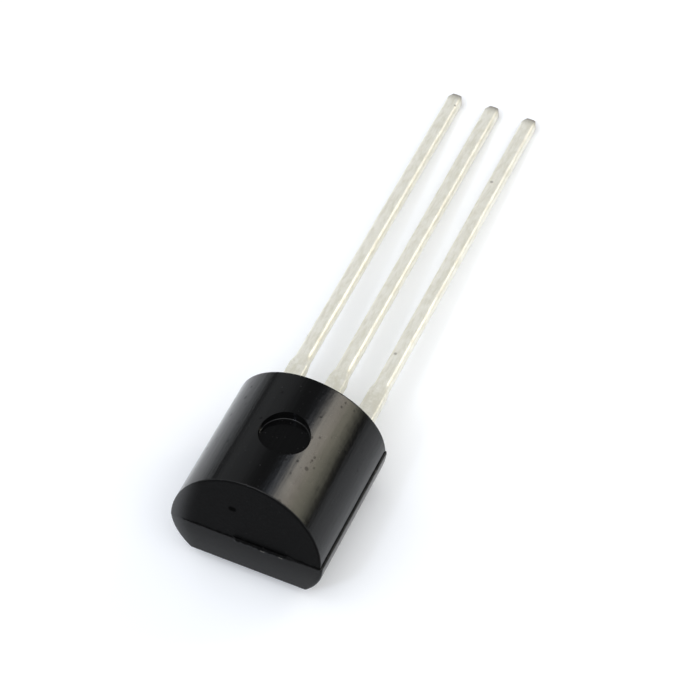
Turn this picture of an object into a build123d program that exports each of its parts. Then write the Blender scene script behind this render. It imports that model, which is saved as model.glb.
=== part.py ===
"""Three-lead voltage detector in a D-shaped moulded package, millimetres.

The part lies on the flat of its D. +Z points up, from the flat towards the round side, +X runs
across the three leads and +Y along them, from the package towards their tips. The origin is the
centre of the flat.

Every sub-part is a block of its own: the stamped leads, the silicon die with its attach layer and
its bond wires, and last the two-half moulded body, which is cast round all of them.
"""

import os

from build123d import *

# ---- Moulded body: two mould halves that meet at the parting plane -------------------------------
body_width = 4.66  # across the round sides, at the parting plane
body_length = 4.70  # from the gate end to the lead end, at the parting plane
parting_height = 1.50  # parting plane above the flat, and the middle of the leads' thickness
round_draft = 5.0  # degrees, both ends of the round half
flat_draft = 7.0  # degrees, both ends of the flat half
mould_step = 0.05  # the flat half is this much wider, all of it on the side of lead 3
end_edge_radius = 0.06  # the edges between the ends and the curved sides
flat_edge_radius = 0.08  # the edges round the flat

# ---- Marks that the mould leaves ------------------------------------------------------------------
ejector_radius = 0.75  # round recess left by the ejector pin on the crown
ejector_depth = 0.30  # its floor below the crown
ejector_offset_x = 0.08  # its centre from the middle of the body, towards lead 3
ejector_offset_y = 0.02  # and towards the leads' tips
ejector_floor_radius = 0.03  # the pin's worn edge, where the recess's wall meets its floor
gate_width = 1.70  # broken-off gate on the parting line of the gate end
gate_height = 0.18
gate_stub = 0.05  # how far the break stands proud of the end
gate_slant = 0.10  # how much narrower the break is than its root, at each side
gate_root_depth = 0.20  # how far the stub's root is carried into the body
gate_offset = 0.45  # its middle from the middle of the body, towards lead 3

# ---- Leads, stamped from one strip ----------------------------------------------------------------
lead_pitch = 1.27
lead_thickness = 0.42
lead_width = 0.50  # the long shank
lead_length = 14.20  # from the lead end of the body to the tips
lead_crown = 0.03  # how far the tin bulges out the shank's four sides
lead_corner_radius = 0.14  # the shank's long edges, rounded by the tin
tip_taper_length = 0.20  # the cut tip, drawn in by the shears and rounded off by the tin
tip_taper_inset = 0.09
shoulder_width = 0.58  # the wide root, where the strip's tie bar was cut off
shoulder_length = 1.80  # how far the wide root comes out of the body
shoulder_crown = 0.012
shoulder_corner_radius = 0.06  # the root's long edges
flare_length = 0.32  # the slope between root and shank
dip_cover = 0.10  # how far inside the body the rounded root begins

# ---- The leads' inner ends ------------------------------------------------------------------------
cover_at_post = 0.95  # moulding between the lead end of the body and the bond posts
post_length = 0.75
post_gap = 0.32  # between a bond post and the middle lead's neck
post_outer_ear = 0.18  # how far a post sticks out past its own lead, outwards
pad_gap = 0.36  # between the bond posts and the die pad
pad_width = 2.00
pad_length = 1.80
pad_corner_radius = 0.15
anchor_hole_radius = 0.22  # hole in the die pad that locks it into the moulding
anchor_hole_margin = 0.20  # metal left between that hole and the pad's edge
lock_notch_radius = 0.10  # half-round notches in the shoulders, inside the body
lock_notch_cover = 0.50  # from the lead end of the body to the notches

# ---- Die and bonds --------------------------------------------------------------------------------
die_width = 0.95
die_length = 0.85
die_thickness = 0.22
die_edge_margin = 0.14  # from the pad's lead-side edge to the die
attach_thickness = 0.03
attach_margin = 0.06  # how far the attach layer spreads past the die
wire_diameter = 0.03
wire_rise = 0.16  # height of the loop above the die
wire_bend = 0.04  # how far the bend over the ball cuts the corner
bond_pad_inset = 0.12  # bond pads on the die, in from its edges
ball_diameter = 0.09
ball_height = 0.03
stitch_length = 0.14
stitch_width = 0.06
stitch_height = 0.01
post_bond_inset_x = 0.22  # where a wire ends on a post, in from its inner and pad-side edges
post_bond_inset_y = 0.30
neck_bond_gap = 0.40  # where the middle wire ends on the neck, from the pad

# ---- Places that follow from the sizes above --------------------------------------------------------
body_radius = body_width / 2
crown_height = parting_height + body_radius
lead_end = body_length / 2
gate_end = -body_length / 2
parting_plane = Plane.XY.offset(parting_height)
frame_bottom = parting_height - lead_thickness / 2
frame_top = parting_height + lead_thickness / 2

dip_start = lead_end - dip_cover
shoulder_tip = lead_end + shoulder_length
flare_tip = shoulder_tip + flare_length
lead_tip = lead_end + lead_length
post_tip_side = lead_end - cover_at_post
post_pad_side = post_tip_side - post_length
pad_lead_side = post_pad_side - pad_gap
pad_gate_side = pad_lead_side - pad_length
notch_place = lead_end - lock_notch_cover

post_inner = shoulder_width / 2 + post_gap
post_outer = lead_pitch + shoulder_width / 2 + post_outer_ear

attach_top = frame_top + attach_thickness
die_top = attach_top + die_thickness
die_lead_side = pad_lead_side - die_edge_margin
die_middle = die_lead_side - die_length / 2


def rectangle_between(x_low, x_high, y_low, y_high):
    """Adds an upright rectangle to the current sketch, given by its four sides."""
    with Locations(((x_low + x_high) / 2, (y_low + y_high) / 2)):
        Rectangle(x_high - x_low, y_high - y_low)


def dipped_section(width, crown, corner_radius):
    """Draws the section of a dipped lead: a rectangle with bulging sides and rounded corners."""
    half_width = width / 2 - crown
    half_thickness = lead_thickness / 2 - crown
    with BuildSketch() as section:
        with BuildLine():
            top = ThreePointArc(
                (-half_width, half_thickness), (0, lead_thickness / 2), (half_width, half_thickness)
            )
            right = ThreePointArc(top @ 1, (width / 2, 0), (half_width, -half_thickness))
            bottom = ThreePointArc(
                right @ 1, (0, -lead_thickness / 2), (-half_width, -half_thickness)
            )
            ThreePointArc(bottom @ 1, (-width / 2, 0), top @ 0)
        make_face()
        fillet(section.vertices(), radius=corner_radius)
    return section.sketch


def dipped_lead(centre):
    """Builds what shows of one lead: root, flare and shank, all rounded by the tin dip."""
    root_section = dipped_section(shoulder_width, shoulder_crown, shoulder_corner_radius)
    shank_section = dipped_section(lead_width, lead_crown, lead_corner_radius)
    root_plane = Plane(origin=(centre, dip_start, parting_height), x_dir=(1, 0, 0), z_dir=(0, 1, 0))
    shoulder_plane = root_plane.offset(shoulder_tip - dip_start)
    flare_plane = root_plane.offset(flare_tip - dip_start)
    with BuildPart() as outside:
        with BuildSketch(root_plane):
            add(root_section)
        extrude(amount=shoulder_tip - dip_start)
        with BuildSketch(shoulder_plane):
            add(root_section)
        with BuildSketch(flare_plane):
            add(shank_section)
        loft()
        with BuildSketch(flare_plane):
            add(shank_section)
        extrude(amount=lead_tip - flare_tip)
        cut_face = faces().sort_by(Axis.Y)[-1]
        chamfer(
            cut_face.edges(),
            length=tip_taper_inset,
            length2=tip_taper_length,
            reference=cut_face,
        )
    return outside


def lock_notches(centre):
    """Cuts the pair of half-round notches that keep a lead from pulling out."""
    offset = shoulder_width / 2
    with Locations((centre - offset, notch_place), (centre + offset, notch_place)):
        Circle(lock_notch_radius, mode=Mode.SUBTRACT)


# ---- Outer leads: bond post inside, root and shank outside ------------------------------------------
def outer_lead(side):
    """Builds the lead at one side, -1 or +1, with its bond post turned towards the middle."""
    centre = side * lead_pitch
    post_sides = sorted((side * post_inner, side * post_outer))
    with BuildPart() as lead:
        with BuildSketch(Plane.XY.offset(frame_bottom)):
            half_root = shoulder_width / 2
            rectangle_between(centre - half_root, centre + half_root, post_pad_side, dip_start)
            rectangle_between(*post_sides, post_pad_side, post_tip_side)
            lock_notches(centre)
        extrude(amount=lead_thickness)
        add(dipped_lead(centre).part)
    return lead


lead_1 = outer_lead(-1)
lead_3 = outer_lead(1)

# ---- Middle lead: shank, shoulder, neck and die pad -------------------------------------------------
with BuildPart() as lead_2:
    with BuildSketch(Plane.XY.offset(frame_bottom)):
        with BuildSketch(mode=Mode.PRIVATE) as pad_outline:
            rectangle_between(-pad_width / 2, pad_width / 2, pad_gate_side, pad_lead_side)
            fillet(pad_outline.vertices(), radius=pad_corner_radius)
            hole_place = pad_gate_side + anchor_hole_margin + anchor_hole_radius
            with Locations((0, hole_place)):
                Circle(anchor_hole_radius, mode=Mode.SUBTRACT)
        add(pad_outline.sketch)
        rectangle_between(-shoulder_width / 2, shoulder_width / 2, pad_lead_side, dip_start)
        lock_notches(0)
    extrude(amount=lead_thickness)
    add(dipped_lead(0).part)

# ---- Die and its attach layer -----------------------------------------------------------------------
with BuildPart() as die_attach:
    with BuildSketch(Plane.XY.offset(frame_top)):
        with Locations((0, die_middle)):
            Rectangle(die_width + 2 * attach_margin, die_length + 2 * attach_margin)
    extrude(amount=attach_thickness)

with BuildPart() as detector_die:
    with BuildSketch(Plane.XY.offset(attach_top)):
        with Locations((0, die_middle)):
            Rectangle(die_width, die_length)
    extrude(amount=die_thickness)


# ---- Bond wires: a ball on the die, a loop, and a stitch on the lead --------------------------------
def bond_wire(ball_place, stitch_place):
    """Builds one wire between two places, given as (x, y) on the die and on a lead."""
    run = Vector(*stitch_place) - Vector(*ball_place)
    across = run.normalized()
    wire_radius = wire_diameter / 2
    ball = Vector(*ball_place, die_top)
    stitch = Vector(*stitch_place, frame_top)
    loop_foot = ball + Vector(0, 0, ball_height)
    loop_neck = ball + Vector(0, 0, wire_rise - wire_bend)
    loop_top = ball + Vector(0, 0, wire_rise) + across * wire_bend
    stitch_start = stitch + Vector(0, 0, wire_radius)
    stitch_end = stitch_start + across * stitch_length
    with BuildPart() as wire:
        with BuildLine() as path:
            Polyline(loop_foot, loop_neck, loop_top, stitch_start, stitch_end)
        with BuildSketch(Plane(origin=loop_foot, z_dir=(0, 0, 1))):
            Circle(wire_radius)
        sweep(path=path.line, transition=Transition.RIGHT)
        with BuildSketch(Plane(origin=ball, z_dir=(0, 0, 1))):
            Circle(ball_diameter / 2)
        extrude(amount=ball_height)
        with BuildSketch(Plane(origin=stitch, x_dir=across, z_dir=(0, 0, 1))):
            Rectangle(stitch_length, stitch_width, align=(Align.MIN, Align.CENTER))
        extrude(amount=stitch_height)
    return wire


ball_row = die_lead_side - bond_pad_inset
ball_side = die_width / 2 - bond_pad_inset
post_bond_x = post_inner + post_bond_inset_x
post_bond_y = post_pad_side + post_bond_inset_y

bond_wire_1 = bond_wire((-ball_side, ball_row), (-post_bond_x, post_bond_y))
bond_wire_2 = bond_wire((0, ball_row), (0, pad_lead_side + neck_bond_gap))
bond_wire_3 = bond_wire((ball_side, ball_row), (post_bond_x, post_bond_y))

# ---- Moulded body, round half: half a cylinder with drafted ends ------------------------------------
# Each half narrows away from the parting plane, as it must to leave its cavity.
with BuildPart() as round_half:
    with BuildSketch(Plane.XZ):
        with Locations((-mould_step / 2, parting_height)):
            Circle(body_radius)
        with Locations((0, parting_height)):
            Rectangle(
                2 * body_width,
                body_width,
                align=(Align.CENTER, Align.MIN),
                mode=Mode.INTERSECT,
            )
    extrude(amount=body_length / 2, both=True)
    draft(faces().filter_by(Axis.Y), parting_plane, round_draft)
    fillet(edges().group_by(Axis.Z)[-1], radius=end_edge_radius)

# ---- Moulded body, flat half: the rest of the circle, cut off by the flat ---------------------------
with BuildPart() as flat_half:
    with BuildSketch(Plane.XZ):
        with Locations((0, parting_height)):
            Circle(body_radius + mould_step / 2)
        with Locations((0, 0)):
            Rectangle(
                2 * body_width,
                parting_height,
                align=(Align.CENTER, Align.MIN),
                mode=Mode.INTERSECT,
            )
    extrude(amount=body_length / 2, both=True)
    draft(faces().filter_by(Axis.Y), -parting_plane, flat_draft)
    fillet(edges() - edges().group_by(Axis.Z)[-1], radius=flat_edge_radius)

# ---- Moulded body: both halves, the mould's marks, and the room the inner pieces take ----------------
with BuildPart() as moulded_body:
    add(round_half.part)
    add(flat_half.part)

    # The gate was broken off on the parting line, and left a low ragged stub.
    with BuildSketch(Plane.XY.offset(parting_height - gate_height / 2)):
        root = gate_width / 2
        with BuildLine():
            Polyline(
                (gate_offset - root, gate_end + gate_root_depth),
                (gate_offset - root, gate_end),
                (gate_offset - root + gate_slant, gate_end - gate_stub),
                (gate_offset + root - gate_slant, gate_end - gate_stub),
                (gate_offset + root, gate_end),
                (gate_offset + root, gate_end + gate_root_depth),
                close=True,
            )
        make_face()
    extrude(amount=gate_height)

    # The ejector pin's flat tip left a round recess in the crown.
    with BuildSketch(Plane.XY.offset(crown_height - ejector_depth)):
        with Locations((ejector_offset_x, ejector_offset_y)):
            Circle(ejector_radius)
    extrude(amount=2 * ejector_depth, mode=Mode.SUBTRACT)
    recess_edges = edges(Select.LAST).filter_by(GeomType.CIRCLE)
    fillet(recess_edges.sort_by(Axis.Z)[0], radius=ejector_floor_radius)

    # The moulding fills every gap round the leads, the die and the wires.
    for inner_piece in (lead_1, lead_2, lead_3, die_attach, detector_die):
        add(inner_piece.part, mode=Mode.SUBTRACT)
    for wire in (bond_wire_1, bond_wire_2, bond_wire_3):
        add(wire.part, mode=Mode.SUBTRACT)

# ---- Files -------------------------------------------------------------------------------------------
pieces = {
    "moulded_body": moulded_body,
    "lead_1": lead_1,
    "lead_2": lead_2,
    "lead_3": lead_3,
    "detector_die": detector_die,
    "die_attach": die_attach,
    "bond_wire_1": bond_wire_1,
    "bond_wire_2": bond_wire_2,
    "bond_wire_3": bond_wire_3,
}
os.makedirs("parts", exist_ok=True)
for name, piece in pieces.items():
    piece.part.label = name
    export_step(piece.part, f"parts/{name}.step")
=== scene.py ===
"""Looks of the three-lead voltage detector: finishes, torn flash, floor, lights and camera."""

import math

import bmesh
import bpy
from mathutils import Matrix, Vector, noise


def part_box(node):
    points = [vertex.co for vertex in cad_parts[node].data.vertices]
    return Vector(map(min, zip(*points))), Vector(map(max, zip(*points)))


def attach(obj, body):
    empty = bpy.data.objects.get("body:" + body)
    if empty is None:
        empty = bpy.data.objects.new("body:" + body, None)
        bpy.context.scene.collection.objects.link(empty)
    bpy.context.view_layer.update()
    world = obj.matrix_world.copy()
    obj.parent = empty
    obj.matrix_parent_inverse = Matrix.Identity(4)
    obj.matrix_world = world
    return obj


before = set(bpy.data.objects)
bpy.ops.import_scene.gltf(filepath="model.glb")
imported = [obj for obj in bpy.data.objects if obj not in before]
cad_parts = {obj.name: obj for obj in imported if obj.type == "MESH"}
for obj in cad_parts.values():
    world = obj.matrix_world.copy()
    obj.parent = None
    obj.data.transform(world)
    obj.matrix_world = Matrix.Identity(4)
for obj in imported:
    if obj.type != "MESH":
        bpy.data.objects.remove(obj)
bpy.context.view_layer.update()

MM = 0.001

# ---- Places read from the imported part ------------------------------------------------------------
# The boxes are in metres. What is worked out from them is in millimetres, as the finishes are.
body_low, body_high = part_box("moulded_body")
lead_low, lead_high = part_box("lead_2")
parting_height = (lead_low.z + lead_high.z) / 2 / MM
crown_height = body_high.z / MM
dome_radius = crown_height - parting_height
gate_stub_end = body_low.y / MM
lead_end = body_high.y / MM
lead_tip = lead_high.y / MM

# ---- Camera --------------------------------------------------------------------------------------
camera_azimuth = 20.92
camera_elevation = 50.05
camera_roll = 3.39
camera_distance = 89.607 * MM
camera_aim = Vector((-0.159, 5.397, 1.5)) * MM
camera_lens = 154.92
camera_near = camera_distance / 50
camera_far = 10.0
sensor_width = 36.0


def direction(azimuth, elevation):
    """Unit vector from the part towards a place round it. Azimuth 0 is the side of the gate."""
    turn, rise = math.radians(azimuth), math.radians(elevation)
    return Vector((
        math.sin(turn) * math.cos(rise),
        -math.cos(turn) * math.cos(rise),
        math.sin(rise),
    ))


def place_camera():
    back = direction(camera_azimuth, camera_elevation)
    camera = bpy.data.objects.new("camera", bpy.data.cameras.new("camera"))
    camera.data.lens = camera_lens
    camera.data.sensor_width = sensor_width
    camera.data.clip_start = camera_near
    camera.data.clip_end = camera_far
    camera.location = camera_aim + back * camera_distance
    level = (-back).to_track_quat("-Z", "Y").to_matrix()
    lean = Matrix.Rotation(math.radians(camera_roll), 3, back)
    camera.rotation_mode = "QUATERNION"
    camera.rotation_quaternion = (lean @ level).to_quaternion()
    bpy.context.scene.collection.objects.link(camera)
    bpy.context.scene.camera = camera


place_camera()
bpy.context.scene.view_settings.view_transform = "Standard"


# ---- Shader building -----------------------------------------------------------------------------
class Value:
    """The output of a node. Sums written with it add Math nodes."""

    def __init__(self, finish, socket):
        self.finish = finish
        self.socket = socket

    def maths(self, operation, *others):
        inputs = dict(enumerate((self,) + others))
        return self.finish.node("ShaderNodeMath", {"operation": operation}, inputs)

    def __add__(self, other):
        return self.maths("ADD", other)

    def __radd__(self, other):
        return self.maths("ADD", other)

    def __sub__(self, other):
        return self.maths("SUBTRACT", other)

    def __rsub__(self, other):
        return self.finish.value(other).maths("SUBTRACT", self)

    def __mul__(self, other):
        return self.maths("MULTIPLY", other)

    def __rmul__(self, other):
        return self.maths("MULTIPLY", other)

    def __truediv__(self, other):
        return self.maths("DIVIDE", other)

    def highest(self, *others):
        """The largest of this value and the others."""
        largest = self
        for other in others:
            largest = largest.maths("MAXIMUM", other)
        return largest

    def above(self, edge, softness):
        """Goes from 0 to 1 as the value passes the edge, over twice the softness."""
        inputs = {"Value": self, "From Min": edge - softness, "From Max": edge + softness}
        settings = {"interpolation_type": "SMOOTHSTEP", "clamp": True}
        return self.finish.node("ShaderNodeMapRange", settings, inputs)

    def below(self, edge, softness):
        """Goes from 1 to 0 as the value passes the edge, over twice the softness."""
        return 1.0 - self.above(edge, softness)

    def between(self, low, high):
        """Stretches the value from 0 at low to 1 at high."""
        inputs = {"Value": self, "From Min": low, "From Max": high}
        return self.finish.node("ShaderNodeMapRange", {"clamp": True}, inputs)


class Finish:
    """A node tree of a material, a light or the world, and the one way nodes are added to it."""

    def __init__(self, tree):
        self.tree = tree
        self.tree.nodes.clear()

    def node(self, kind, settings=None, inputs=None, output=0):
        made = self.tree.nodes.new(kind)
        for name, setting in (settings or {}).items():
            if name == "stops":
                self.set_stops(made.color_ramp, setting)
            else:
                setattr(made, name, setting)
        for name, given in (inputs or {}).items():
            if isinstance(given, Value):
                self.tree.links.new(given.socket, made.inputs[name])
            else:
                made.inputs[name].default_value = given
        return Value(self, made.outputs[output]) if len(made.outputs) else made

    def set_stops(self, ramp, stops):
        while len(ramp.elements) < len(stops):
            ramp.elements.new(0.5)
        for element, (place, colour) in zip(ramp.elements, stops):
            element.position = place
            element.color = (*colour, 1.0)

    def value(self, number):
        """A plain number as a value, for sums that start with it."""
        return self.node("ShaderNodeMath", {"operation": "ADD"}, {0: number, 1: 0.0})

    def blend(self, factor, first, second):
        """Mixes two colours."""
        inputs = {0: factor, 6: first, 7: second}
        return self.node("ShaderNodeMix", {"data_type": "RGBA"}, inputs, output=2)

    def millimetres(self, scale=(1.0, 1.0, 1.0)):
        """The part's own coordinates, in millimetres, stretched for a pattern."""
        place = self.node("ShaderNodeTexCoord", output="Object")
        inputs = {"Vector": place, "Scale": [share / MM for share in scale]}
        return self.node("ShaderNodeMapping", {}, inputs)

    def normal(self):
        return self.node("ShaderNodeNewGeometry", output="Normal")

    def axis(self, vector, name):
        return self.node("ShaderNodeSeparateXYZ", {}, {"Vector": vector}, output=name)

    def distance(self, vector, centre):
        inputs = {0: vector, 1: centre}
        return self.node("ShaderNodeVectorMath", {"operation": "DISTANCE"}, inputs, output="Value")

    def grain(self, vector, scale, detail=2.0, roughness=0.5):
        """Cloudy noise around 0.5, with scale clouds per millimetre."""
        inputs = {"Vector": vector, "Scale": scale, "Detail": detail, "Roughness": roughness}
        return self.node("ShaderNodeTexNoise", {}, inputs)

    def spots(self, vector, scale, share, size):
        """Round spots, 1 at their middle: scale cells per millimetre, a share of them spotted."""
        inputs = {"Vector": vector, "Scale": scale, "Randomness": 1.0}
        distance = self.node("ShaderNodeTexVoronoi", {}, inputs, output="Distance")
        cell = self.node("ShaderNodeTexVoronoi", {}, inputs, output="Color")
        chosen = self.axis(cell, "X").below(share, 0.001)
        spread = self.axis(cell, "Y") * size + 0.3 * size
        return chosen * (1.0 - distance / spread).highest(0.0)

    def dimples(self, vector, places):
        """1 within a ball round each of the places, given as centres with radii."""
        balls = [
            self.distance(vector, centre).below(radius, radius * 0.35) for centre, radius in places
        ]
        return balls[0].highest(*balls[1:])

    def bump(self, height, depth):
        """Turns a height from 0 to 1 into a normal. The depth is in millimetres."""
        inputs = {"Height": height, "Strength": 1.0, "Distance": depth * MM}
        return self.node("ShaderNodeBump", {}, inputs)

    def principled(self, **inputs):
        named = {name.replace("_", " "): given for name, given in inputs.items()}
        return self.node("ShaderNodeBsdfPrincipled", {}, named)

    def mix_shaders(self, factor, first, second):
        return self.node("ShaderNodeMixShader", {}, {0: factor, 1: first, 2: second})

    def surface(self, shader, kind="ShaderNodeOutputMaterial"):
        self.node(kind, {}, {"Surface": shader})


def new_material(name):
    material = bpy.data.materials.new(name)
    material.use_nodes = True
    return material, Finish(material.node_tree)


def dress(node_name, material):
    """Gives a carried-over solid its finish."""
    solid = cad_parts[node_name]
    solid.data.materials.clear()
    solid.data.materials.append(material)


# ---- Moulding compound: the body's black epoxy ---------------------------------------------------
compound_ior = 1.38
cavity_blacks = (0.0010, 0.0010, 0.0012, 1), (0.0020, 0.0020, 0.0020, 1)
cavity_dust = (0.030, 0.030, 0.030, 1)
eroded_black = (0.0022, 0.0022, 0.0023, 1)
eroded_dust = (0.020, 0.020, 0.020, 1)
broken_grey = (0.017, 0.0175, 0.0185, 1)
# painted light: a lighter grey on the ledge, which lies in shade under the round half
painted_ledge_light = (0.055, 0.054, 0.052, 1)
# painted light: paler along one edge of the gate end
painted_light_grey = (0.13, 0.13, 0.132, 1)
# painted glints: light spots where bits of flash catch the light
painted_glint_grey = (0.085, 0.082, 0.075, 1)
# painted shade: near-black for the tear and the deepest pit
painted_shade_blacks = (0.0002, 0.0002, 0.0002, 1), (0.0016, 0.0016, 0.0016, 1)

end_pit_places = (  # two balls that make one pit, wider than high, drawn only as painted shade
    ((-0.51, -2.245, 2.675), 0.085),
    ((-0.44, -2.245, 2.675), 0.085),
)
glint_places = (  # painted glints: light spots where bits of flash on the parting line catch the light
    ((0.50, -2.39, 1.430), 0.032),
    ((0.57, -2.39, 1.420), 0.040),
    ((1.07, -2.39, 1.455), 0.030),
    ((1.13, -2.39, 1.450), 0.032),
    ((2.345, 1.55, 1.490), 0.045),
)
dome_pits = (  # the larger pits of the round side: across, along, radius
    (1.13, -0.22, 0.040),
    (1.09, -0.69, 0.065),
    (0.74, 1.07, 0.040),
    (1.09, 1.76, 0.038),
    (1.13, 1.96, 0.038),
    (0.99, 0.44, 0.038),
)
end_zone = 2.0  # the end faces lie further out than this, and the recess lies inside it
recess_zone = 0.2  # the recess's floor lies deeper under the crown than this
seam_start = -1.95  # across the gate end, where the torn parting line begins
lit_edge_radius = 1.94  # the painted light lies outside this, round the middle of the parting line
lit_edge_side = -1.75


class BodyFaces:
    """Masks of the body's faces, each 1 on its own face and 0 elsewhere."""

    def __init__(self, finish, place):
        normal = finish.normal()
        facing_up = finish.axis(normal, "Z")
        facing_along = finish.axis(normal, "Y").maths("ABSOLUTE")
        self.across, self.along, self.height = (finish.axis(place, name) for name in "XYZ")
        off_middle = self.along.maths("ABSOLUTE")
        self.round_half = self.height.above(parting_height, 0.01)
        self.ends = facing_along.above(0.50, 0.20) * off_middle.above(end_zone, 0.05)
        self.gate_end = self.ends * self.along.below(0.0, 0.1)
        # The flank beside lead 3 has a touch of matt.
        self.flank = (1.0 - self.ends) * finish.axis(normal, "X").above(0.66, 0.14)
        sunk = self.height.below(crown_height - recess_zone, 0.02)
        self.recess_floor = sunk * facing_up.above(0.95, 0.02)
        # The ledge is the top of the mould step and of the gate's stub.
        on_parting = self.height.below(parting_height + 0.02, 0.01)
        self.ledge = facing_up.above(0.95, 0.04) * on_parting


def parting_line(finish, place, body):
    """Masks of the parting line on the gate end, which is widest where the gate was broken off."""
    wobble = finish.grain(place, scale=11.0, detail=3.0, roughness=0.75)
    over_seam = body.height - parting_height + 0.28 * (wobble - 0.5)
    seam_width = 0.020 + 0.032 * body.across.above(-0.2, 0.3)
    seam = body.gate_end * body.across.above(seam_start, 0.12)
    torn = seam * (over_seam - seam_width - 0.03).below(0.0, 0.012)
    torn = torn * (over_seam + seam_width - 0.01).above(0.0, 0.012)
    on_stub = body.along.below(gate_stub_end + 0.03, 0.02)
    broken = on_stub * (over_seam + 0.02).below(0.0, 0.03)
    # The ledge gets painted light, in ragged patches.
    ragged = body.ledge * (0.35 + 0.65 * wobble.above(0.45, 0.12))
    return wobble, torn, broken, ragged


def air_pits(finish, place, body):
    """Small pits that air left in the skin, and the larger ones of the round side."""
    pits = finish.spots(place, scale=2.4, share=0.15, size=0.22)
    small_pits = finish.spots(place, scale=6.5, share=0.16, size=0.36)
    scattered = pits.highest(small_pits).above(0.30, 0.28) * (1.0 - body.ends)
    places = [
        ((across, along, parting_height + math.sqrt(dome_radius**2 - across**2)), radius)
        for across, along, radius in dome_pits
    ]
    return scattered.highest(finish.dimples(place, places))


def painted_edge_light(body):
    """Painted light: a paler colour along one side of the gate end, near its edge, where light falls
    on it.
    """
    off_parting = body.height - parting_height
    from_middle = (body.across * body.across + off_parting * off_parting).maths("SQRT")
    lit_edge = from_middle.above(lit_edge_radius, 0.78) * body.gate_end
    lit_edge = lit_edge * body.across.below(lit_edge_side, 0.5)
    return lit_edge * lit_edge


def cavity_skin(finish, place, body, pits, dust):
    """The skin that the polished cavity leaves, with fine draw marks along the part."""
    drawn = finish.millimetres(scale=(7.0, 0.5, 7.0))
    streaks = finish.grain(drawn, scale=1.0, detail=4.0, roughness=0.6)
    grains = finish.grain(place, scale=24.0, detail=3.0, roughness=0.65)
    clouds = finish.grain(place, scale=1.1, detail=3.0)
    ripples = finish.grain(place, scale=4.5)
    waves = 0.5 * streaks + 0.12 * ripples + 0.10 * grains
    height = (waves - 0.05 * pits) * (1.0 - 0.8 * body.ends)
    return finish.principled(
        Base_Color=finish.blend(dust, finish.blend(clouds, *cavity_blacks), cavity_dust),
        Roughness=0.09 + 0.06 * streaks + 0.08 * (clouds - 0.5) - 0.04 * body.recess_floor,
        IOR=compound_ior,
        Normal=finish.bump(height, depth=0.010),
    )


def eroded_skin(finish, place, colour):
    """The matt skin of the ends, whose cavity was spark-eroded, and of the pits' bottoms."""
    sparks = finish.grain(place, scale=14.0, detail=5.0, roughness=0.7)
    return finish.principled(
        Base_Color=colour,
        Roughness=0.40 + 0.2 * sparks,
        IOR=compound_ior,
        Specular_IOR_Level=0.07,
        Normal=finish.bump(sparks, depth=0.010),
    )


def moulding_compound():
    material, finish = new_material("moulding_compound")
    place = finish.millimetres()
    body = BodyFaces(finish, place)
    wobble, torn, broken, ragged = parting_line(finish, place, body)
    glints = finish.dimples(place, glint_places)
    pits = air_pits(finish, place, body)
    dust = finish.spots(place, scale=16.0, share=0.06, size=0.35)

    colour = finish.blend(dust, eroded_black, eroded_dust)
    colour = finish.blend(broken, colour, broken_grey)
    # Painted light: the shaded ledge is made lighter grey.
    colour = finish.blend(ragged, colour, painted_ledge_light)
    # Painted light: paler colour along one edge of the gate end.
    colour = finish.blend(painted_edge_light(body), colour, painted_light_grey)
    # Painted glints: light spots where bits of flash catch the light.
    colour = finish.blend(glints, colour, painted_glint_grey)
    matt = eroded_skin(finish, place, colour)
    polished = cavity_skin(finish, place, body, pits, dust)

    # The round half's ends are fully matt. The flat half's turn glossier towards the flat.
    flat_half = (1.0 - body.round_half) * (0.86 - 0.30 * body.height.below(0.75, 0.75))
    matt_ends = body.ends * (body.round_half + flat_half)
    pin_mark = body.recess_floor * body.round_half * 0.35
    matt_share = matt_ends.highest(pin_mark, body.flank * 0.35, pits * 0.50, glints, body.ledge)
    skin = finish.mix_shaders(matt_share, polished, matt)

    # Painted shade: a near-black finish with almost no reflection stands in for the shade in the tear
    # and the deepest pit, where no light comes back out.
    painted_shade = finish.principled(
        Base_Color=finish.blend(wobble, *painted_shade_blacks), Roughness=0.8, Specular_IOR_Level=0.02
    )
    tear = torn * (1.0 - glints) * (1.0 - broken) * 0.9
    shade_places = finish.dimples(place, end_pit_places).highest(tear)
    finish.surface(finish.mix_shaders(shade_places, skin, painted_shade))
    return material


# ---- Tinned metal: the leads ---------------------------------------------------------------------
tin_metallic = 0.35  # the dull tin scatters like paint for the rest
tin_bright = (0.99, 0.965, 0.87, 1), (0.93, 0.895, 0.78, 1)
tin_dull = (0.68, 0.66, 0.55, 1)
tin_streak = (0.75, 0.715, 0.58, 1)
tin_pit = (0.34, 0.31, 0.26, 1)
drawn_tip_brown = (0.17, 0.145, 0.12, 1)
bare_cut_brown = (0.10, 0.085, 0.07, 1)
shoulder_length = 2.0
drawn_tip_length = 0.20


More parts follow.
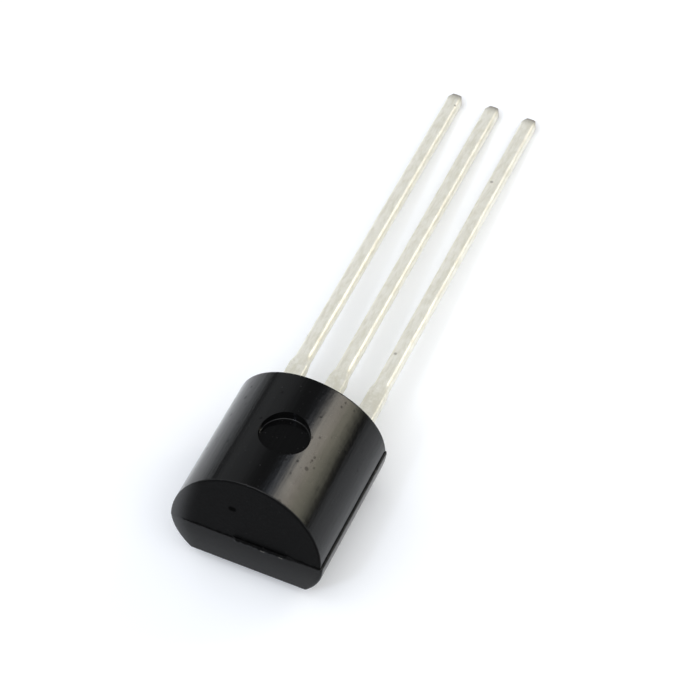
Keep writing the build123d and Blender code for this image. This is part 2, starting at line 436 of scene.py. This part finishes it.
def tinned_metal():
    material, finish = new_material("tinned_metal")
    place = finish.millimetres()
    length = finish.axis(place, "Y")
    shoulder = length.below(lead_end + shoulder_length, 0.3)
    tip = length.above(lead_tip - drawn_tip_length, 0.26)
    cut = finish.axis(finish.normal(), "Y").above(0.9, 0.05)

    patches = finish.millimetres(scale=(5.0, 0.8, 5.0))
    clouds = finish.grain(patches, scale=1.2, detail=4.0, roughness=0.6)
    mottle = finish.grain(place, scale=5.0, detail=4.0, roughness=0.65)
    worn = clouds.above(0.58, 0.07) * 0.5 + shoulder * mottle.above(0.48, 0.12) * 0.8
    dull = worn.maths("MINIMUM", 1.0)
    lines = finish.millimetres(scale=(9.0, 2.4, 9.0))
    streaks = finish.grain(lines, scale=1.0, detail=4.0, roughness=0.6)
    pits = finish.spots(place, scale=2.6, share=0.12, size=0.18)

    colour = finish.blend(mottle.between(0.3, 0.7), *tin_bright)
    colour = finish.blend(dull * 0.5, colour, tin_dull)
    colour = finish.blend(streaks.above(0.55, 0.16) * 0.6, colour, tin_streak)
    colour = finish.blend(pits.above(0.35, 0.3) * 0.7, colour, tin_pit)
    colour = finish.blend(tip * 0.9, colour, drawn_tip_brown)
    colour = finish.blend(cut, colour, bare_cut_brown)
    dents = finish.grain(finish.millimetres(scale=(3.0, 0.9, 3.0)), scale=1.0, detail=1.0)
    grains = finish.grain(place, scale=26.0)
    shader = finish.principled(
        Base_Color=colour,
        Metallic=tin_metallic,
        Roughness=0.28 + 0.14 * dull + 0.05 * mottle + 0.2 * tip,
        Normal=finish.bump(1.2 * dents + 0.03 * grains, depth=0.016),
    )
    finish.surface(shader)
    return material


# ---- Finishes inside the body --------------------------------------------------------------------
silicon_blues = (0.16, 0.17, 0.22, 1), (0.30, 0.29, 0.32, 1)
silver_greys = (0.55, 0.55, 0.57, 1), (0.80, 0.80, 0.82, 1)
gold_yellows = (0.90, 0.66, 0.25, 1), (1.0, 0.78, 0.36, 1)


def silicon():
    material, finish = new_material("silicon")
    inputs = {"Vector": finish.millimetres(), "Scale": 14.0}
    settings = {"distance": "CHEBYCHEV"}
    blocks = finish.node("ShaderNodeTexVoronoi", settings, inputs, output="Color")
    shader = finish.principled(
        Base_Color=finish.blend(finish.axis(blocks, "X"), *silicon_blues),
        Roughness=0.2,
        Normal=finish.bump(finish.axis(blocks, "Y"), depth=0.002),
    )
    finish.surface(shader)
    return material


def silver_epoxy():
    material, finish = new_material("silver_epoxy")
    flakes = finish.grain(finish.millimetres(), scale=40.0, detail=3.0)
    shader = finish.principled(
        Base_Color=finish.blend(flakes, *silver_greys),
        Metallic=0.6,
        Roughness=0.35 + 0.3 * flakes,
    )
    finish.surface(shader)
    return material


def gold():
    material, finish = new_material("gold")
    drawn = finish.grain(finish.millimetres(), scale=60.0)
    shader = finish.principled(
        Base_Color=finish.blend(drawn, *gold_yellows),
        Metallic=1.0,
        Roughness=0.2 + 0.1 * drawn,
    )
    finish.surface(shader)
    return material


body_finish = moulding_compound()
lead_finish = tinned_metal()
dress("moulded_body", body_finish)
for lead in ("lead_1", "lead_2", "lead_3"):
    dress(lead, lead_finish)
dress("detector_die", silicon())
dress("die_attach", silver_epoxy())
wire_finish = gold()
for wire in ("bond_wire_1", "bond_wire_2", "bond_wire_3"):
    dress(wire, wire_finish)


# ---- Flash and torn gate, along the parting line of the gate end, in millimetres -----------------
stub_proud = 0.05  # how far the gate's stub stands out of the end
break_from, break_to = -1.90, 2.05  # across the end
break_taper = 0.15  # the flash thins out over this length at both ends
break_cuts, upright_cuts = 240, 4
gate_from, gate_to = -0.35, 1.75  # the lumpiest stretch
gate_taper = 0.3
flash_height, flash_proud = 0.030, 0.018
lump_height, lump_proud = 0.085, 0.042
break_sunk = 0.08  # how deep the back of the flash lies in the end
thinnest = 0.15  # least share of its height that the flash keeps
proudest = 1.1  # most that lumps add to how far it stands out
rounding = 0.8  # how far the flash's edges fall back from its crest

lump_middle = 0.75  # share of its height that the flash has on average

# Each swing is its size, its waves per millimetre, its waves across the flash, and its place in
# the noise.
lump_swing = 0.8, 7.0, 1.5, 2.0
crumb_swing = 0.45, 26.0, 4.0, 6.0
sway_swing = 0.03, 2.5, 0.0, 9.0

torn_blacks = (0.0006, 0.0006, 0.0006, 1), (0.005, 0.005, 0.005, 1)
# Painted glints on the torn flash, where it catches the light.
torn_glint_grey = (0.30, 0.29, 0.27, 1)
torn_glint_places = (
    ((0.545, -2.38, 1.42), 0.035),
    ((1.10, -2.38, 1.45), 0.030),
)


def torn_compound():
    material, finish = new_material("torn_compound")
    place = finish.millimetres()
    crumbs = finish.grain(place, scale=30.0, detail=3.0, roughness=0.7)
    glints = finish.dimples(place, torn_glint_places)
    dark = finish.blend(crumbs.between(0.35, 0.7), *torn_blacks)
    shader = finish.principled(
        # Painted glints: light spots where the torn flash catches the light.
        Base_Color=finish.blend(glints, dark, torn_glint_grey),
        Roughness=0.6 + 0.25 * crumbs,
        IOR=compound_ior,
        Specular_IOR_Level=0.15,
        Normal=finish.bump(crumbs, depth=0.012),
    )
    finish.surface(shader)
    return material


def rise_between(value, low, high):
    """Goes smoothly from 0 at low to 1 at high."""
    share = min(max((value - low) / (high - low), 0.0), 1.0)
    return share * share * (3.0 - 2.0 * share)


def plateau(value, low, high, taper):
    """1 between low and high, and 0 outside them, with a smooth taper inside both."""
    return rise_between(value, low, low + taper) * rise_between(-value, -high, taper - high)


def swing(kind, along, side):
    """A smooth random value around 0, for a place along the flash and across it."""
    size, waves_along, waves_across, place = kind
    return size * noise.noise(Vector((waves_along * along, waves_across * side, place)))


def make_gate_break():
    """A bar along the parting line, swollen and torn where the gate was, thin flash elsewhere."""
    shape = bmesh.new()
    bmesh.ops.create_cube(shape, size=1.0)
    lengthwise = [e for e in shape.edges if abs(e.verts[0].co.x - e.verts[1].co.x) > 0.5]
    bmesh.ops.subdivide_edges(shape, edges=lengthwise, cuts=break_cuts, use_grid_fill=True)
    upright = [e for e in shape.edges if abs(e.verts[0].co.z - e.verts[1].co.z) > 0.5]
    bmesh.ops.subdivide_edges(shape, edges=upright, cuts=upright_cuts, use_grid_fill=True)
    end_face = gate_stub_end + stub_proud
    for vertex in shape.verts:
        x = break_from + (vertex.co.x + 0.5) * (break_to - break_from)
        side = 2.0 * vertex.co.z
        swell = plateau(x, gate_from, gate_to, gate_taper)
        fade = plateau(x, break_from, break_to, break_taper)
        lumps = lump_middle + swing(lump_swing, x, side)
        ragged = max(lumps + swing(crumb_swing, x, side), thinnest) * fade
        half = (flash_height + (lump_height - flash_height) * swell) * ragged
        proud = (flash_proud + (lump_proud - flash_proud) * swell) * min(ragged, proudest)
        front = vertex.co.y < 0
        outward = proud * (1.0 - rounding * side * side) if front else -break_sunk
        z = parting_height + swing(sway_swing, x, side) + side * half
        vertex.co = Vector((x, end_face - outward, z)) * MM
    bmesh.ops.recalc_face_normals(shape, faces=shape.faces)
    mesh = bpy.data.meshes.new("gate_break")
    shape.to_mesh(mesh)
    shape.free()
    mesh.materials.append(torn_compound())
    piece = bpy.data.objects.new("gate_break", mesh)
    bpy.context.scene.collection.objects.link(piece)
    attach(piece, "root")


make_gate_break()


# ---- Floor: the part lies on the lead-end edge of its flat and on its lead tips ------------------
floor_radius = 1.2
floor_sides = 96
pool_middle = (0.0, 6.0, 0.0)  # of the bright pool of light on the floor, in millimetres
pool_radius, pool_softness = 29.0, 9.0
sheet_whites = (0.955, 0.961, 0.982, 1), (0.975, 0.981, 0.998, 1)
far_white = (0.73, 0.74, 0.76, 1)
bounce_white = (0.78, 0.79, 0.81, 1)  # what the part is lit with from below
sheet_glow = (0.06, 0.06, 0.06, 1)
no_glow = (0.0, 0.0, 0.0, 1)


def resting_line():
    """Slope and height, along the part, of the plane that it would come to rest on."""
    body_points = [v.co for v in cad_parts["moulded_body"].data.vertices]
    heel = [p for p in body_points if p.z < parting_height * MM / 2 and p.y > 0]
    lead_points = [v.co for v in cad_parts["lead_2"].data.vertices]
    toe = [p for p in lead_points if p.y > 0.8 * lead_tip * MM]
    slopes = [min((tip.z - low.z) / (tip.y - low.y) for tip in toe) for low in heel]
    slope = max(slopes)
    touch = heel[slopes.index(slope)]
    return slope, touch.z - slope * touch.y


def white_table():
    material, finish = new_material("white_table")
    place = finish.millimetres()
    paper = finish.grain(place, scale=0.3)
    away = finish.distance(place, pool_middle).above(pool_radius, pool_softness)
    sheet = finish.blend(away, finish.blend(paper, *sheet_whites), far_white)
    camera_ray = finish.node("ShaderNodeLightPath", output="Is Camera Ray")
    glossy_ray = finish.node("ShaderNodeLightPath", output="Is Glossy Ray")
    seen = camera_ray.highest(glossy_ray)
    table = finish.principled(
        Base_Color=finish.blend(seen, bounce_white, sheet),
        Roughness=0.9,
        Specular_IOR_Level=0.0,
        Emission_Color=finish.blend(seen, no_glow, sheet_glow),
        Emission_Strength=1.0,
    )
    under = finish.node("ShaderNodeNewGeometry", output="Backfacing")
    clear = finish.node("ShaderNodeBsdfTransparent")
    finish.surface(finish.mix_shaders(under, table, clear))
    return material


def make_floor():
    slope, height = resting_line()
    shape = bmesh.new()
    bmesh.ops.create_circle(shape, cap_ends=True, segments=floor_sides, radius=floor_radius)
    tilt = Matrix.Rotation(math.atan(slope), 4, "X")
    bmesh.ops.transform(shape, matrix=tilt, verts=shape.verts)
    bmesh.ops.translate(shape, vec=(0, 0, height), verts=shape.verts)
    mesh = bpy.data.meshes.new("floor")
    shape.to_mesh(mesh)
    shape.free()
    mesh.materials.append(white_table())
    floor = bpy.data.objects.new("floor", mesh)
    bpy.context.scene.collection.objects.link(floor)


make_floor()


# ---- Lights --------------------------------------------------------------------------------------
lamp_distance = 0.45
mirror_out, mirror_back = 0.82, 0.575  # parts of the directions that the dome mirrors to the camera
strip_angle = 42.5
strip_glow = (  # brightest a little before its middle
    (0.00, (0.10, 0.11, 0.13)),
    (0.13, (0.15, 0.165, 0.195)),
    (0.24, (0.22, 0.23, 0.25)),
    (0.40, (1.00, 0.94, 0.83)),
    (0.47, (0.90, 0.82, 0.71)),
    (0.55, (0.66, 0.62, 0.50)),
    (0.73, (0.41, 0.40, 0.31)),
    (0.83, (0.33, 0.32, 0.26)),
    (1.00, (0.12, 0.12, 0.10)),
)
plain_white = (0.0, (1.0, 1.0, 1.0)), (1.0, (1.0, 1.0, 1.0))
window_blue = (0.0, (0.72, 0.82, 1.0)), (1.0, (0.72, 0.82, 1.0))


def softbox(name, towards, across, width, height, radiance, stops):
    """A flat lamp that faces the part. Width and height are angles seen from it, in degrees.

    The stops give its colour from one end of its width to the other.
    """
    towards = Vector(towards).normalized()
    across = Vector(across)
    across = (across - across.dot(towards) * towards).normalized()
    lamp = bpy.data.lights.new(name, "AREA")
    lamp.shape = "RECTANGLE"
    lamp.size = 2 * lamp_distance * math.tan(math.radians(width / 2))
    lamp.size_y = 2 * lamp_distance * math.tan(math.radians(height / 2))
    lamp.energy = radiance * math.pi * lamp.size * lamp.size_y
    lamp.use_nodes = True
    finish = Finish(lamp.node_tree)
    spot = finish.node("ShaderNodeNewGeometry", output="Parametric")
    ramp = finish.node("ShaderNodeValToRGB", {"stops": stops}, {0: finish.axis(spot, "X")})
    light = finish.node("ShaderNodeEmission", {}, {"Color": ramp})
    finish.surface(light, "ShaderNodeOutputLight")
    holder = bpy.data.objects.new(name, lamp)
    turn = Matrix((across, towards.cross(across), towards)).transposed()
    holder.matrix_world = Matrix.Translation(towards * lamp_distance) @ turn.to_4x4()
    bpy.context.scene.collection.objects.link(holder)


def around_dome(angle):
    """Direction that the dome mirrors towards the camera, by its angle from straight up."""
    turn = math.radians(angle)
    return Vector((mirror_out * math.sin(turn), mirror_back, mirror_out * math.cos(turn)))


def along_dome(angle):
    """Direction in which that one moves as its angle grows."""
    turn = math.radians(angle)
    return Vector((math.cos(turn), 0.0, -math.sin(turn)))


softbox(
    "strip_light",
    towards=around_dome(strip_angle),
    across=along_dome(strip_angle),
    width=79,
    height=7.0,
    radiance=8.0,
    stops=strip_glow,
)
softbox(
    "front_softbox",
    towards=(0.05, -0.40, 0.92),
    across=(1, 0, 0),
    width=64,
    height=50,
    radiance=1.0,
    stops=plain_white,
)
softbox(
    "side_window",
    towards=(-0.23, -0.66, 0.72),
    across=(1, 0, 0),
    width=5,
    height=8,
    radiance=26.0,
    stops=window_blue,
)


# ---- Room ----------------------------------------------------------------------------------------
room_white = (0.94, 0.97, 1.0, 1.0)
tent_glow = 0.85
dim_glow = 0.18
horizon_shade = 0.15
left_glow = 0.34
shelf_shade = 0.32
left_foot_glow = 0.24


def make_room():
    """A white tent round the front of the part, open to a dim room behind it."""
    world = bpy.data.worlds.new("room")
    bpy.context.scene.world = world
    world.use_nodes = True
    room = Finish(world.node_tree)
    towards = room.node("ShaderNodeTexCoord", output="Generated")
    right, back, rise = (room.axis(towards, name) for name in "XYZ")
    tent = back.below(0.34, 0.14)
    horizon = right.above(0.1, 0.1) * rise.below(0.20, 0.05)
    shelf = rise.above(0.16, 0.03) * rise.below(0.29, 0.03)
    left = left_glow - shelf_shade * shelf + left_foot_glow * rise.below(0.15, 0.03)
    dim = dim_glow - horizon_shade * horizon + right.below(-0.36, 0.20) * left
    strength = tent * tent_glow + (1.0 - tent) * dim
    light = room.node("ShaderNodeBackground", {}, {"Color": room_white, "Strength": strength})
    room.surface(light, "ShaderNodeOutputWorld")


make_room()
